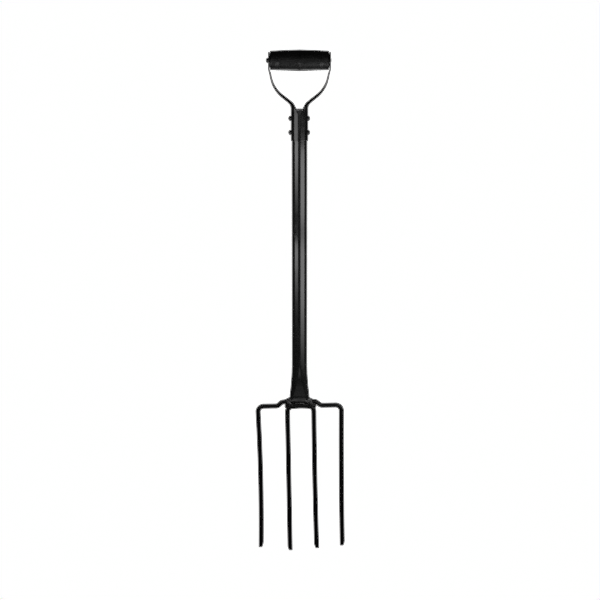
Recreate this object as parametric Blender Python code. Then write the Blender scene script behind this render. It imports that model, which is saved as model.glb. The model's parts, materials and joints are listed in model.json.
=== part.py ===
"""Digging fork: a steel tube shaft, four tines bent from two round bars, and a riveted D handle.

Metres, +Z up, tines down. The shaft's axis is the Z axis and the lowest tine tip is at Z = 0.
The tines sweep forward, towards -Y. The barrel grip turns freely on a pin that runs along X.
"""

import math

import bmesh
import bpy
from mathutils import Matrix, Vector

GAP = 0.0003  # clearance between neighbouring pieces
SMOOTH_ANGLE = math.radians(35)
ALONG_X = Matrix.Rotation(math.radians(90), 4, "Y")  # turns a piece made along Z onto X

# Shaft: a round tube, pressed flat at its foot until its walls straddle the tine bars
TUBE_RADIUS = 0.0150
TUBE_WALL = 0.0016
TUBE_TOP = 0.9280
TUBE_FOOT = 0.3232
TUBE_SIDES = 36
FOOT_FLARE_TOP = 0.4250
FOOT_STEP = 0.0105
# Front-to-back thickness of the tube at each height above its foot
FOOT_DEPTHS = (
    (TUBE_FOOT, 0.0130),
    (0.3285, 0.0130),
    (0.3340, 0.0133),
    (0.3455, 0.0170),
    (0.3585, 0.0218),
    (0.3845, 0.0278),
    (0.4050, 0.0296),
    (0.4250, 0.0300),
)

# Tine head: two bent bars, one lying on the other, that lean as one about the shaft's foot
BAR_RADIUS = 0.0045
BAR_SIDES = 12
HEAD_PIVOT = 0.3222  # height of the outer bar's axis where it crosses the shaft
HEAD_LEAN = math.radians(1.0)
BAR_DROP = 2 * BAR_RADIUS + GAP  # inner bar's axis below the outer bar's
BAR_STEP = 0.025
ARC_STEP = math.radians(15)

# Outer bar, in the head's frame: a raised middle, a jog down on each side, then the shoulders
LEFT_JOG = (-0.0455, -0.0365)
RIGHT_JOG = (0.0335, 0.0438)
JOG_RADIUS = 0.0090
SHOULDER_DROP = 0.0085
SHOULDER_RADIUS = 0.0120

# Inner bar: a U whose crossbar is crowned
CROWN = 0.0015
CROWN_RADIUS = 0.0800
INNER_RADIUS = 0.0110

# Each tine: x at its shoulder, how far it strays at mid length and at the tip, height of its tip
TINES = {
    "outer_left": (-0.0865, 0.0021, -0.0004, 0.0083),
    "inner_left": (-0.0254, 0.0000, -0.0001, 0.0006),
    "inner_right": (0.0294, -0.0001, 0.0013, 0.0043),
    "outer_right": (0.0866, -0.0016, -0.0016, 0.0092),
}
TINE_REACH = 0.0200  # how far forward the tips stand of the shoulders
TINE_BEND_TOP = 0.3000
# The cut corner of each tine's point: +1 on its right side, -1 on its left side
POINT_SIDES = {"outer_left": 1, "inner_left": -1, "inner_right": -1, "outer_right": 1}
POINT_SLOPE = math.radians(20)
POINT_SIDE_LAND = 0.0015
POINT_FACE_SLOPE = math.radians(22)
POINT_FACE_LAND = 0.0016

# Handle straps: each one sheet, half round at the socket and flat at the eye
STRAP_SHEET = 0.0014
SOCKET_BOTTOM = 0.8675
SOCKET_RADIUS = TUBE_RADIUS + GAP + STRAP_SHEET  # outer face
STRAP_COLUMNS = 12
STRAP_STEP = 0.0046
EYE_RADIUS = 0.0160
GRIP_HEIGHT = 1.0248
EYE_FACE = 0.06075  # outer face of each eye, from the shaft's axis
# How far a strap's outer face stands from the shaft's axis, at each height
STRAP_OUTLINE = (
    (SOCKET_BOTTOM, SOCKET_RADIUS),
    (0.9200, SOCKET_RADIUS),
    (0.9300, SOCKET_RADIUS),
    (0.9355, 0.0174),
    (0.9412, 0.0215),
    (0.9482, 0.0297),
    (0.9561, 0.0390),
    (0.9659, 0.0472),
    (0.9777, 0.0536),
    (0.9895, 0.0570),
    (0.9990, 0.0589),
    (1.0090, EYE_FACE),
    (GRIP_HEIGHT + EYE_RADIUS, EYE_FACE),
)
SOCKET_CURL = 1 / (SOCKET_RADIUS - STRAP_SHEET / 2)
FLAT_CURL = 0.001
# Width of the sheet and how tightly it is curled (one over the curl's radius), at each height
STRAP_SECTIONS = (
    (SOCKET_BOTTOM, 0.0485, SOCKET_CURL),
    (0.9170, 0.0485, SOCKET_CURL),
    (0.9280, 0.0362, SOCKET_CURL),
    (0.9335, 0.0300, 56.0),
    (0.9412, 0.0275, 34.0),
    (0.9500, 0.0258, 33.0),
    (0.9650, 0.0245, 24.0),
    (0.9850, 0.0247, 12.0),
    (0.9990, 0.0250, 9.5),
    (1.0090, 0.0264, FLAT_CURL),
    (GRIP_HEIGHT + EYE_RADIUS, 0.0320, FLAT_CURL),
)
EYE_TIP_WIDTH = 0.0060

# Socket rivets, along X through both straps and the tube
RIVET_HEIGHTS = {"socket_rivet_upper": 0.9109, "socket_rivet_lower": 0.8829}
RIVET_RADIUS = 0.0030
RIVET_HEAD_RADIUS = 0.0049
RIVET_HEAD = 0.0046
RIVET_TAIL_RADIUS = 0.0050
RIVET_TAIL = 0.0032
RIVET_SIDES = 20

# Grip: a tapered barrel on a spacer tube, between two washers, all on one riveted pin
PIN_RADIUS = 0.0040
PIN_HEAD_RADIUS = 0.0052
PIN_HEAD = 0.0045
PIN_TAIL_RADIUS = 0.0050
PIN_TAIL = 0.0010
PIN_SIDES = 24
SPACER_RADIUS = 0.0060
SPACER_END = EYE_FACE - STRAP_SHEET - GAP
WASHER_RADIUS = 0.0148
WASHER_THICKNESS = 0.0010
BARREL_END = SPACER_END - WASHER_THICKNESS - GAP
BARREL_END_RADIUS = 0.01815
BARREL_MID_RADIUS = 0.0203
BARREL_EDGE = 0.0022
RIDGE_HEIGHT = 0.0002
RIDGE_HALF_WIDTH = 0.0010
BARREL_SIDES = 32

# Weld runs, in the head's frame: centre, half lengths along its own axes, tilt in the XZ plane
WELDS = {
    "weld_toe_left": ((-0.0244, 0.0, 0.0062), (0.0068, 0.0046, 0.0036), -25),
    "weld_toe_right": ((0.0238, 0.0, 0.0062), (0.0062, 0.0046, 0.0036), 25),
    "weld_front_lip": ((0.0, -0.0048, -0.0034), (0.0165, 0.0031, 0.0030), 0),
    "weld_front_left": ((-0.0238, -0.0042, -0.0046), (0.0078, 0.0036, 0.0048), 55),
    "weld_front_right": ((0.0266, -0.0042, -0.0046), (0.0082, 0.0036, 0.0048), 50),
    "weld_rear_lip": ((0.0, 0.0048, -0.0034), (0.0165, 0.0031, 0.0030), 0),
    "weld_rear_left": ((-0.0229, 0.0045, -0.0034), (0.0066, 0.0032, 0.0040), 42),
    "weld_rear_right": ((0.0240, 0.0045, -0.0034), (0.0066, 0.0032, 0.0040), -42),
}
WELD_SIDES = 16
WELD_RINGS = 10


def clear_scene():
    for obj in list(bpy.data.objects):
        bpy.data.objects.remove(obj, do_unlink=True)


def powder_coat(name):
    return principled(name, (0.022, 0.022, 0.024), roughness=0.42, metallic=0.0)


def black_plastic(name):
    return principled(name, (0.016, 0.016, 0.017), roughness=0.55, metallic=0.0)


def principled(name, colour, roughness, metallic):
    material = bpy.data.materials.new(name + "_finish")
    material.use_nodes = True
    shader = material.node_tree.nodes["Principled BSDF"]
    shader.inputs["Base Color"].default_value = (*colour, 1.0)
    shader.inputs["Roughness"].default_value = roughness
    shader.inputs["Metallic"].default_value = metallic
    return material


def add_empty(name, location, parent=None):
    empty = bpy.data.objects.new(name, None)
    empty.location = location
    empty.parent = parent
    bpy.context.scene.collection.objects.link(empty)
    return empty


def add_object(name, bm, parent, location=(0, 0, 0), finish=powder_coat):
    """Puts a bmesh on a named object, smooth except across sharp edges."""
    bmesh.ops.recalc_face_normals(bm, faces=bm.faces)
    mesh = bpy.data.meshes.new(name)
    bm.to_mesh(mesh)
    bm.free()
    mesh.shade_smooth()
    mesh.set_sharp_from_angle(angle=SMOOTH_ANGLE)
    obj = bpy.data.objects.new(name, mesh)
    obj.location = location
    obj.parent = parent
    obj.data.materials.append(finish(name))
    bpy.context.scene.collection.objects.link(obj)
    return obj


def as_cutter(obj):
    obj.hide_render = True
    obj.display_type = "WIRE"
    return obj


def cut(obj, cutters):
    for cutter in cutters:
        boolean = obj.modifiers.new("cut_" + cutter.name, "BOOLEAN")
        boolean.operation = "DIFFERENCE"
        boolean.solver = "EXACT"
        boolean.object = cutter


def grade(keys, n, column):
    """The slope of a column from its key n to the next."""
    return (keys[n + 1][column] - keys[n][column]) / (keys[n + 1][0] - keys[n][0])


def slope_at(keys, n, column):
    """The slope to pass key n with, so that the curve never overshoots a key."""
    if n == 0 or n == len(keys) - 1:
        return 0.0
    before, after = grade(keys, n - 1, column), grade(keys, n, column)
    return 2 * before * after / (before + after) if before * after > 0 else 0.0


def eased(keys, at, column=1):
    """The value in a column of keys at this height, on a smooth curve through all of them."""
    at = min(max(at, keys[0][0]), keys[-1][0])
    last = len(keys) - 2
    i = next((n for n in range(last) if at <= keys[n + 1][0]), last)
    span = keys[i + 1][0] - keys[i][0]
    t = (at - keys[i][0]) / span
    low, high = keys[i][column], keys[i + 1][column]
    curve = (1 + 2 * t) * (1 - t) ** 2 * low + t * t * (3 - 2 * t) * high
    leave, arrive = slope_at(keys, i, column), slope_at(keys, i + 1, column)
    return curve + span * t * (1 - t) * ((1 - t) * leave - t * arrive)


def rounded_path(corners, radii):
    """A polyline whose inner corners are turned into arcs of the given radii."""
    corners = [Vector(c) for c in corners]
    path = [corners[0]]
    for before, corner, after, radius in zip(corners, corners[1:], corners[2:], radii):
        inward = (corner - before).normalized()
        outward = (after - corner).normalized()
        turn = inward.angle(outward)
        setback = radius * math.tan(turn / 2)
        centre = corner - inward * setback
        centre += (outward - inward * inward.dot(outward)).normalized() * radius
        spoke = corner - inward * setback - centre
        axis = inward.cross(outward).normalized()
        steps = max(2, math.ceil(turn / ARC_STEP))
        for n in range(steps + 1):
            path.append(centre + Matrix.Rotation(turn * n / steps, 3, axis) @ spoke)
    return [*path, corners[-1]]


def subdivided(path, step):
    """The same path with no stretch longer than a step."""
    finer = [path[0]]
    for a, b in zip(path, path[1:]):
        count = max(1, math.ceil((b - a).length / step))
        finer += [a.lerp(b, n / count) for n in range(1, count + 1)]
    return finer


def swept_rod(path, radius, sides):
    """A round rod along a path, whose rings keep one side towards Y."""
    bm = bmesh.new()
    rings = []
    for i, point in enumerate(path):
        tangent = (path[min(i + 1, len(path) - 1)] - path[max(i - 1, 0)]).normalized()
        across = tangent.cross(Vector((0, 1, 0))).normalized()
        upright = across.cross(tangent)
        angles = [2 * math.pi * n / sides for n in range(sides)]
        rings.append(
            [
                bm.verts.new(point + radius * (across * math.cos(a) + upright * math.sin(a)))
                for a in angles
            ]
        )
    for low, high in zip(rings, rings[1:]):
        for n in range(sides):
            bm.faces.new((low[n], low[n - 1], high[n - 1], high[n]))
    bm.faces.new(rings[0])
    bm.faces.new(rings[-1])
    return bm


def turned(outline, sides, ring=False):
    """A body turned about Z from (radius, height) points, a ring when the outline is closed."""
    bm = bmesh.new()
    verts = [bm.verts.new((radius, 0, height)) for radius, height in outline]
    ends = zip(verts, verts[1:] + verts[:1]) if ring else zip(verts, verts[1:])
    edges = [bm.edges.new(pair) for pair in ends]
    bmesh.ops.spin(
        bm, geom=verts + edges, axis=(0, 0, 1), cent=(0, 0, 0), steps=sides, angle=2 * math.pi
    )
    bmesh.ops.remove_doubles(bm, verts=bm.verts, dist=1e-6)
    return bm


def turned_on_x(outline, sides, ring=False):
    """The same body with its axis on X."""
    bm = turned(outline, sides, ring)
    bm.transform(ALONG_X)
    return bm


def foot_depth(height):
    return eased(FOOT_DEPTHS, height)


def flattened_outline(height, swell=0.0):
    """The tube's outline at a height: a circle pressed flat, with round ends and the same length round."""
    depth = foot_depth(height)
    end_radius = depth / 2
    flat = (2 * math.pi * TUBE_RADIUS - math.pi * depth) / 2
    arc = math.pi * end_radius
    points = []
    for n in range(TUBE_SIDES):
        run = 2 * (arc + flat) * n / TUBE_SIDES
        half_turn, along = divmod(run + arc / 2, arc + flat)
        angle = min(along, arc) / end_radius - math.pi / 2
        x = flat / 2 + (end_radius + swell) * math.cos(angle) - max(along - arc, 0)
        y = (end_radius + swell) * math.sin(angle)
        flip = -1 if half_turn % 2 else 1
        points.append(Vector((flip * x, flip * y, height)))
    return points


def lofted_tube(heights, swell, capped):
    bm = bmesh.new()
    rings = [[bm.verts.new(p) for p in flattened_outline(z, swell)] for z in heights]
    for low, high in zip(rings, rings[1:]):
        for n in range(TUBE_SIDES):
            bm.faces.new((low[n - 1], low[n], high[n], high[n - 1]))
    if capped:
        bm.faces.new(rings[0])
        bm.faces.new(rings[-1])
    return bm


def flare_heights(bottom):
    count = math.ceil((FOOT_FLARE_TOP - bottom) / FOOT_STEP)
    return [bottom + (FOOT_FLARE_TOP - bottom) * n / count for n in range(count + 1)]


def make_foot_clearance(parent):
    """The space that the shaft's foot takes up, a little enlarged."""
    bm = lofted_tube(flare_heights(TUBE_FOOT - GAP), GAP, capped=True)
    return as_cutter(add_object("foot_clearance", bm, parent))


def make_shaft(parent, cutters):
    bm = lofted_tube([*flare_heights(TUBE_FOOT), TUBE_TOP], 0.0, capped=False)
    tube = add_object("shaft_tube", bm, parent)
    wall = tube.modifiers.new("wall", "SOLIDIFY")
    wall.thickness = TUBE_WALL
    wall.offset = -1
    cut(tube, cutters)
    return tube


def tine_bow(name, point):
    """Moves a point of a straight tine onto its real line, swept forward and a little astray."""
    _, mid, tip, _ = TINES[name]
    t = max(0.0, (TINE_BEND_TOP - HEAD_PIVOT - point.z) / TINE_BEND_TOP)
    stray = 4 * t * (1 - t) * mid + t * (2 * t - 1) * tip
    return point + Vector((stray, -TINE_REACH * t * t, 0))


def bar_path(left, right, top_corners, radii):
    """A bar's axis from its left tip, over the top corners, to its right tip."""
    ends = [Vector((TINES[n][0], 0, TINES[n][3] - HEAD_PIVOT)) for n in (left, right)]
    path = subdivided(rounded_path([ends[0], *top_corners, ends[1]], radii), BAR_STEP)
    return [tine_bow(left if p.x < 0 else right, p) for p in path]


def outer_bar_path():
    left, right = TINES["outer_left"][0], TINES["outer_right"][0]
    corners = [
        (left, 0, -SHOULDER_DROP),
        (LEFT_JOG[0], 0, -SHOULDER_DROP),
        (LEFT_JOG[1], 0, 0),
        (RIGHT_JOG[0], 0, 0),
        (RIGHT_JOG[1], 0, -SHOULDER_DROP),
        (right, 0, -SHOULDER_DROP),
    ]
    jogs = [JOG_RADIUS] * 4
    radii = [SHOULDER_RADIUS, *jogs, SHOULDER_RADIUS]
    return bar_path("outer_left", "outer_right", corners, radii)


def inner_bar_path():
    left, right = TINES["inner_left"][0], TINES["inner_right"][0]
    corners = [
        (left, 0, -BAR_DROP - CROWN),
        ((left + right) / 2, 0, -BAR_DROP),
        (right, 0, -BAR_DROP - CROWN),
    ]
    radii = [INNER_RADIUS, CROWN_RADIUS, INNER_RADIUS]
    return bar_path("inner_left", "inner_right", corners, radii)


def cut_plane(bm, through, normal):
    """Cuts away what lies on the normal's side of a plane, and closes the cut."""
    geometry = [*bm.verts, *bm.edges, *bm.faces]
    done = bmesh.ops.bisect_plane(
        bm, geom=geometry, plane_co=through, plane_no=normal, clear_outer=True
    )
    rim = [e for e in done["geom_cut"] if isinstance(e, bmesh.types.BMEdge)]
    bmesh.ops.edgenet_fill(bm, edges=rim)


def point_tine(bm, name, tip):
    """Bevels a tine's end on one side, front and back."""
    side = POINT_SIDES[name]
    land = tip + Vector((side * POINT_SIDE_LAND, 0, 0))
    slope = Vector((side * math.cos(POINT_SLOPE), 0, -math.sin(POINT_SLOPE)))
    cut_plane(bm, land, slope)
    for face in (-1, 1):
        land = tip + Vector((0, face * POINT_FACE_LAND, 0))
        slope = Vector((0, face * math.cos(POINT_FACE_SLOPE), -math.sin(POINT_FACE_SLOPE)))
        cut_plane(bm, land, slope)


def make_bar(name, left, right, path, head):
    bm = swept_rod(path, BAR_RADIUS, BAR_SIDES)
    cut_limit = 3 * BAR_RADIUS / math.tan(POINT_SLOPE)
    for tine, tip in ((left, path[0]), (right, path[-1])):
        point_half(bm, tine, tip, cut_limit)
    return add_object(name, bm, head)


def point_half(bm, name, tip, reach):
    """Points one end of a bar, leaving the rest of it alone."""
    near = [f for f in bm.faces if (f.calc_center_median() - tip).length < reach]
    end = bmesh.new()
    corners = {}
    for face in near:
        for vert in face.verts:
            if vert not in corners:
                corners[vert] = end.verts.new(vert.co)
        end.faces.new([corners[v] for v in face.verts])
    bmesh.ops.delete(bm, geom=near, context="FACES")
    point_tine(end, name, tip)
    mesh = bpy.data.meshes.new("tine_end")
    end.to_mesh(mesh)
    end.free()
    bm.from_mesh(mesh)
    bpy.data.meshes.remove(mesh)
    bmesh.ops.remove_doubles(bm, verts=bm.verts, dist=1e-6)


def make_bar_clearance(name, path, head):
    bm = swept_rod(path, BAR_RADIUS + GAP, BAR_SIDES * 2)
    return as_cutter(add_object(name, bm, head))


def make_weld(name, head, cutters):
    """One run of weld metal, hollowed where it lies against the bars and the foot."""
    centre, half_lengths, tilt = WELDS[name]
    bm = bmesh.new()
    bmesh.ops.create_uvsphere(bm, u_segments=WELD_SIDES, v_segments=WELD_RINGS, radius=1.0)
    bm.transform(ALONG_X)
    bm.transform(Matrix.Diagonal((*half_lengths, 1.0)))
    weld = add_object(name, bm, head, location=centre)
    weld.rotation_euler.y = math.radians(tilt)
    cut(weld, cutters)
    return weld


def strap_width(height):
    """The sheet's width: the leg's own, then a round eye."""
    above = height - GRIP_HEIGHT
    leg = eased(STRAP_SECTIONS, height)
    rise = math.sqrt(max(EYE_RADIUS**2 - above**2, 0.0))
    if above > 0:
        return max(2 * rise, EYE_TIP_WIDTH)
    return max(leg, 2 * rise) if above > -EYE_RADIUS else leg


def strap_row(before, point, after, side):
    """One row of points across the sheet's middle surface, curled round towards the shaft."""
    tangent = (after - before).normalized()
    outward = Vector((tangent.z, 0, -tangent.x))
    spine = point - outward * STRAP_SHEET / 2
    width = strap_width(point.z)
    radius = 1 / eased(STRAP_SECTIONS, point.z, column=2)
    row = []
    for n in range(STRAP_COLUMNS + 1):
        angle = width / radius * (n / STRAP_COLUMNS - 0.5)
        sink = radius * (1 - math.cos(angle))
        place = spine - outward * sink + Vector((0, radius * math.sin(angle), 0))
        row.append(Vector((side * place.x, place.y, place.z)))
    return row


def strap_path():
    """The line of a strap's outer face, with a point each step beyond the plain socket."""
    heights = [SOCKET_BOTTOM]
    for (low, near), (high, far) in zip(STRAP_OUTLINE, STRAP_OUTLINE[1:]):
        plain = high <= STRAP_OUTLINE[1][0]
        count = 1 if plain else max(1, round(math.hypot(high - low, far - near) / STRAP_STEP))
        heights += [low + (high - low) * n / count for n in range(1, count + 1)]
    return [Vector((eased(STRAP_OUTLINE, z), 0, z)) for z in heights]


def strap_sheet(side):
    path = strap_path()
    bm = bmesh.new()
    rows = []
    for i, point in enumerate(path):
        before, after = path[max(i - 1, 0)], path[min(i + 1, len(path) - 1)]
        rows.append([bm.verts.new(p) for p in strap_row(before, point, after, side)])
    for low, high in zip(rows, rows[1:]):
        for n in range(STRAP_COLUMNS):
            bm.faces.new((low[n], low[n + 1], high[n + 1], high[n]))
    return bm


def make_strap(name, side, parent, cutters):
    strap = add_object(name, strap_sheet(side), parent)
    sheet = strap.modifiers.new("sheet", "SOLIDIFY")
    sheet.thickness = STRAP_SHEET
    sheet.offset = 0
    sheet.use_even_offset = True
    cut(strap, cutters)
    return strap


def dome(radius, rise, from_height, steps=5):
    """A dome's outline, from its rim at a height to its crown."""
    angles = [math.pi / 2 * n / steps for n in range(steps)]
    rim_to_crown = [(radius * math.cos(a), from_height + rise * math.sin(a)) for a in angles]
    return [*rim_to_crown, (0.0, from_height + rise)]


def rivet_outline(face, shank, head_radius, head, tail_radius, tail):
    """A shank between two faces at plus and minus face, with a high head and a flatter tail."""
    low = [(r, -z) for r, z in dome(head_radius, head, face)]
    high = dome(tail_radius, tail, face)
    return [*reversed(low), (shank, -face), (shank, face), *high]


def make_socket_rivet(name, height, parent):
    outline = rivet_outline(
        SOCKET_RADIUS + GAP,
        RIVET_RADIUS,
        RIVET_HEAD_RADIUS,
        RIVET_HEAD,
        RIVET_TAIL_RADIUS,
        RIVET_TAIL,
    )
    return add_object(name, turned_on_x(outline, RIVET_SIDES), parent, (0, 0, height))


def make_bore_cutter(name, radius, half_length, sides, parent, location):
    """A plain bar along X that drills a hole."""
    outline = [(0, -half_length), (radius, -half_length), (radius, half_length), (0, half_length)]
    return as_cutter(add_object(name, turned_on_x(outline, sides), parent, location))


def make_rivet_cutters(parent):
    reach = 2 * SOCKET_RADIUS
    bore = RIVET_RADIUS + GAP
    return [
        make_bore_cutter(name + "_hole", bore, reach, RIVET_SIDES, parent, (0, 0, height))
        for name, height in RIVET_HEIGHTS.items()
    ]


def make_pin(grip_axis):
    outline = rivet_outline(
        EYE_FACE + GAP, PIN_RADIUS, PIN_HEAD_RADIUS, PIN_HEAD, PIN_TAIL_RADIUS, PIN_TAIL
    )
    return add_object("grip_pin", turned_on_x(outline, PIN_SIDES), grip_axis)


def make_spacer(grip_axis):
    bore = PIN_RADIUS + GAP
    outline = [
        (SPACER_RADIUS, SPACER_END),
        (SPACER_RADIUS, -SPACER_END),
        (bore, -SPACER_END),
        (bore, SPACER_END),
    ]
    return add_object("grip_spacer_tube", turned_on_x(outline, PIN_SIDES, ring=True), grip_axis)


def make_washer(name, side, grip_axis):
    half = WASHER_THICKNESS / 2
    bore = SPACER_RADIUS + GAP
    outline = [(WASHER_RADIUS, half), (WASHER_RADIUS, -half), (bore, -half), (bore, half)]
    place = (side * (SPACER_END - half), 0, 0)
    return add_object(name, turned_on_x(outline, PIN_SIDES, ring=True), grip_axis, place)


def barrel_outline():
    """Half of the barrel's outside, from the middle ridge to the rounded end."""
    end_centre = BARREL_END - BARREL_EDGE
    outside = [
        (BARREL_MID_RADIUS + RIDGE_HEIGHT, 0.0),
        (BARREL_MID_RADIUS, RIDGE_HALF_WIDTH),
        ((BARREL_MID_RADIUS + BARREL_END_RADIUS) / 2, end_centre / 2),
    ]
    for degrees in (0, 30, 60, 90):
        angle = math.radians(degrees)
        radius = BARREL_END_RADIUS - BARREL_EDGE * (1 - math.cos(angle))
        outside.append((radius, end_centre + BARREL_EDGE * math.sin(angle)))
    return outside


def make_barrel(grip_axis):
    half = barrel_outline()
    bore = SPACER_RADIUS + GAP
    outline = [
        *reversed(half),
        *[(radius, -height) for radius, height in half[1:]],
        (bore, -BARREL_END),
        (bore, BARREL_END),
    ]
    bm = turned_on_x(outline, BARREL_SIDES, ring=True)
    return add_object("grip_barrel", bm, grip_axis, finish=black_plastic)


def make_head(fork):
    """The two tine bars and their clearances, in the head's leaning frame."""
    head = add_empty("head", (0, 0, HEAD_PIVOT), fork)
    head.rotation_euler.y = -HEAD_LEAN
    outer, inner = outer_bar_path(), inner_bar_path()
    make_bar("outer_tine_bar", "outer_left", "outer_right", outer, head)
    make_bar("inner_tine_bar", "inner_left", "inner_right", inner, head)
    clearances = [
        make_bar_clearance("outer_bar_clearance", outer, head),
        make_bar_clearance("inner_bar_clearance", inner, head),
    ]
    return head, clearances


def make_grip(grip_axis):
    make_barrel(grip_axis)
    make_spacer(grip_axis)
    make_pin(grip_axis)
    make_washer("grip_washer_left", -1, grip_axis)
    make_washer("grip_washer_right", 1, grip_axis)


def main():
    clear_scene()
    fork = add_empty("fork", (0, 0, 0))
    head, bar_clearances = make_head(fork)
    foot_clearance = make_foot_clearance(fork)
    rivet_cutters = make_rivet_cutters(fork)
    make_shaft(fork, [bar_clearances[0], *rivet_cutters])
    for name in WELDS:
        make_weld(name, head, [*bar_clearances, foot_clearance])
    grip_axis = add_empty("grip_axis", (0, 0, GRIP_HEIGHT), fork)
    pin_cutter = make_bore_cutter(
        "pin_hole", PIN_RADIUS + GAP, 2 * EYE_FACE, PIN_SIDES, fork, (0, 0, GRIP_HEIGHT)
    )
    make_strap("strap_left", -1, fork, [*rivet_cutters, pin_cutter])
    make_strap("strap_right", 1, fork, [*rivet_cutters, pin_cutter])
    for name, height in RIVET_HEIGHTS.items():
        make_socket_rivet(name, height, fork)
    make_grip(grip_axis)


main()
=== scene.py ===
"""Looks of the digging fork: finer surfaces, finishes, floor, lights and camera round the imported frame.

Metres, +Z up, tines down, as in the CAD. Each CAD node is replaced by a finer piece of the same shape and
size, which rides on the same body. The shaft's axis is the Z axis, and the grip's pin runs along X.
"""

import json
import math

import bmesh
import bpy
from mathutils import Matrix, Vector, noise


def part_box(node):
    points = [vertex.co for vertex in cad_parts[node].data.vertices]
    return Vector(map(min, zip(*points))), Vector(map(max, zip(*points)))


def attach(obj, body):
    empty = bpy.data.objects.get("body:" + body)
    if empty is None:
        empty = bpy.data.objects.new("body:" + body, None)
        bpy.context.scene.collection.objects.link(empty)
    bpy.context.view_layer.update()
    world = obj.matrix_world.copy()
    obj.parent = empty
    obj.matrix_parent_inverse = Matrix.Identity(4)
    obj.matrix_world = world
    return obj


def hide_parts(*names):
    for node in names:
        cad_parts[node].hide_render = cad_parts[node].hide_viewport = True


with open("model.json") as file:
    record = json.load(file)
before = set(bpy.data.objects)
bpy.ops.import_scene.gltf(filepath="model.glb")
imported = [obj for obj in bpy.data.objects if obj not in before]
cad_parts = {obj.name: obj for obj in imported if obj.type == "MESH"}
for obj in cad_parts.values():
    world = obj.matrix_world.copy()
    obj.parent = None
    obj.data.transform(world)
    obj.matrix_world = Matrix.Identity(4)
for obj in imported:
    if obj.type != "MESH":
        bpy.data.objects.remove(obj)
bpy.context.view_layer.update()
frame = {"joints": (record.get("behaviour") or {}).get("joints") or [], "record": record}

RECORD = frame["record"]
BODY_OF = {n: body for body, nodes in RECORD["behaviour"]["bodies"].items() for n in nodes}
SLOT_OF = {part["node"]: part["material_slot"] for part in RECORD["subparts"]}

GAP = 0.0003  # clearance that the CAD leaves between neighbours
SMOOTH_ANGLE = math.radians(35)
EDGE = 0.0004  # how far sheet and tube edges are rounded
EDGE_STEPS = 3
SAME_PLACE = 1e-6  # outline points closer than this are one

# Shaft tube, pressed flat at its foot
TUBE_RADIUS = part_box("shaft_tube")[1].y
TUBE_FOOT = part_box("shaft_tube")[0].z
TUBE_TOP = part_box("shaft_tube")[1].z
TUBE_WALL = 0.0016
TUBE_SIDES = 96
FOOT_FLARE_TOP = 0.4250
FLARE_STEP = 0.0025
SHAFT_STEP = 0.0400
# Front-to-back thickness of the tube at each height
FOOT_DEPTHS = (
    (TUBE_FOOT, 0.0130),
    (0.3285, 0.0130),
    (0.3340, 0.0133),
    (0.3455, 0.0170),
    (0.3585, 0.0218),
    (0.3845, 0.0278),
    (0.4050, 0.0296),
    (FOOT_FLARE_TOP, 0.0300),
)

# Tine head: two bent bars that lean as one about the shaft's foot
BAR_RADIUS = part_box("outer_tine_bar")[1].y
BAR_SIDES = 32
BAR_STEP = 0.0050
BAR_DROP = 2 * BAR_RADIUS + GAP
HEAD_PIVOT = TUBE_FOOT - 0.0010
HEAD_LEAN = math.radians(1.0)
HEAD = Matrix.Translation((0, 0, HEAD_PIVOT)) @ Matrix.Rotation(-HEAD_LEAN, 4, "Y")
ARC_STEP = math.radians(5)
LEFT_JOG = (-0.0455, -0.0365)
RIGHT_JOG = (0.0335, 0.0438)
JOG_RADIUS = 0.0090
SHOULDER_DROP = 0.0085
SHOULDER_RADIUS = 0.0120
CROWN = 0.0015
CROWN_RADIUS = 0.0800
INNER_RADIUS = 0.0110
# Each tine: x at its shoulder, how far it strays at mid length and at the tip, height of its tip
TINES = {
    "outer_left": (-0.0865, 0.0021, -0.0004, 0.0083),
    "inner_left": (-0.0254, 0.0000, -0.0001, 0.0006),
    "inner_right": (0.0294, -0.0001, 0.0013, 0.0043),
    "outer_right": (0.0866, -0.0016, -0.0016, 0.0092),
}
TINE_REACH = 0.0200
TINE_BEND_TOP = 0.3000
POINT_SIDES = {"outer_left": 1, "inner_left": -1, "inner_right": -1, "outer_right": 1}
POINT_SLOPE = math.radians(20)
POINT_SIDE_LAND = 0.0015
POINT_FACE_SLOPE = math.radians(22)
POINT_FACE_LAND = 0.0016
POINT_EDGE = 0.0005

# Welds: straight beads, and a fillet round the outer bar at each side of the foot
BEAD_SIDES = 28
BEAD_STEPS = 64
BEAD_WAVE = 0.0021  # from one ripple to the next
BEAD_DEPTH = 0.16  # how deep a ripple is, as a share of the bead
BEAD_LUMP = 0.00022
TOE_TURN = math.radians(108)
TOE_STEPS = 96
TOE_RIPPLES = 11
TOE_DEPTH = 0.13
TOE_LUMP = 0.00025
TOE_HOLLOW = 0.0004  # how far a toe weld's face sinks in between its edges
FILLET_STEPS = 14
FILLET_SINK = 0.0006  # how far a toe weld reaches into the bar
FOOT_END_RADIUS = FOOT_DEPTHS[0][1] / 2
FOOT_FLAT = math.pi * (TUBE_RADIUS - FOOT_END_RADIUS)

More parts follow.
